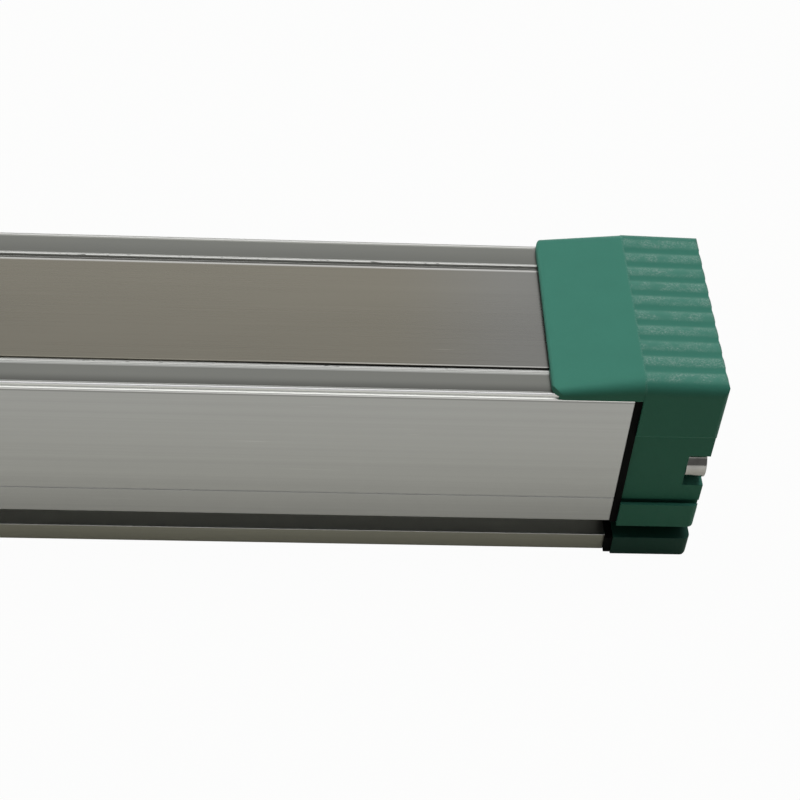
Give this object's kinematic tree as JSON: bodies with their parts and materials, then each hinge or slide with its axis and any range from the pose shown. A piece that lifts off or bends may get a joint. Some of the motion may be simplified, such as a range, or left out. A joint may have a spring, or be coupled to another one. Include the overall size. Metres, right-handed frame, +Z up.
{
  "type": "linear slide potentiometer",
  "caption": "Linear position sensor with a slider on a slotted extrusion, a steel cover band, ribbed end caps, a wiper inside and a rod-end coupling.",
  "frame": {"origin": "middle of the extrusion's flat underside", "axes": "+X along the extrusion towards the blank end cap, +Y across it, +Z up"},
  "size_m": [0.2766, 0.0342, 0.0689],
  "materials": {
    "silver_anodised": "satin anodised extrusion, fine lines along its length",
    "stainless_band": "rolled stainless strip, brushed along its length",
    "green_moulding": "moulded, slightly glossy on worn ribs",
    "black_rubber": "matte",
    "screw_steel": "zinc-plated steel",
    "bright_steel": "polished bearing steel",
    "nickel_brass": "nickel-plated, satin",
    "gold_contact": "gold-plated",
    "black_plastic": "moulded insulator",
    "black_anodised": "black anodised, fine blasted",
    "white_acetal": "machined acetal",
    "magnet_rubber": "magnet-filled strip",
    "board_laminate": "glass laminate",
    "conductive_plastic": "printed and burnished",
    "silver_ink": "printed silver",
    "lead_sheath": "insulated lead"
  },
  "bodies": {
    "housing": {"housing_extrusion": "silver_anodised", "cover_band": "stainless_band", "front_magnet_strip": "magnet_rubber", "back_magnet_strip": "magnet_rubber", "right_end_cap": "green_moulding", "left_end_cap": "green_moulding", "right_gasket": "black_rubber", "left_gasket": "black_rubber", "right_cap_screws": "screw_steel", "left_cap_screws": "screw_steel", "right_band_clamp": "stainless_band", "left_band_clamp": "stainless_band", "right_clamp_screws": "screw_steel", "left_clamp_screws": "screw_steel", "element_board": "board_laminate", "resistive_track": "conductive_plastic", "collector_track": "conductive_plastic", "silver_traces": "silver_ink", "board_terminals": "gold_contact", "inner_leads": "lead_sheath", "connector_shell": "nickel_brass", "connector_seal": "black_rubber", "connector_nut": "nickel_brass", "connector_insert": "black_plastic", "connector_pins": "gold_contact"},
    "slider": {"slider_block": "black_anodised", "glide_pads": "white_acetal", "band_shoes": "white_acetal", "driver_arm": "screw_steel", "driver_screws": "screw_steel", "carriage_screws": "screw_steel", "inner_shoe": "white_acetal", "wiper_carriage": "white_acetal", "resistive_brush": "gold_contact", "collector_brush": "gold_contact", "coupling_stud": "screw_steel", "coupling_washer": "screw_steel", "coupling_nut": "screw_steel"},
    "coupling_ball": {"swivel_ball": "bright_steel"},
    "rod_end": {"rod_end": "screw_steel", "lock_nut": "screw_steel", "coupling_rod": "screw_steel"}
  },
  "joints": [
    {"name": "slider_travel", "type": "slide", "parent": "housing", "child": "slider", "axis": [1, 0, 0], "range_m": [0, 0.15], "deforming": ["cover_band"]},
    {"name": "ball_turn", "type": "hinge", "parent": "slider", "child": "coupling_ball", "pos_m": [-0.075, 0, 0.05885], "axis": [0, 0, 1], "continuous": true},
    {"name": "rod_tilt", "type": "hinge", "parent": "coupling_ball", "child": "rod_end", "pos_m": [-0.075, 0, 0.05885], "axis": [0, 1, 0], "range_deg": [-13, 13]}
  ]
}
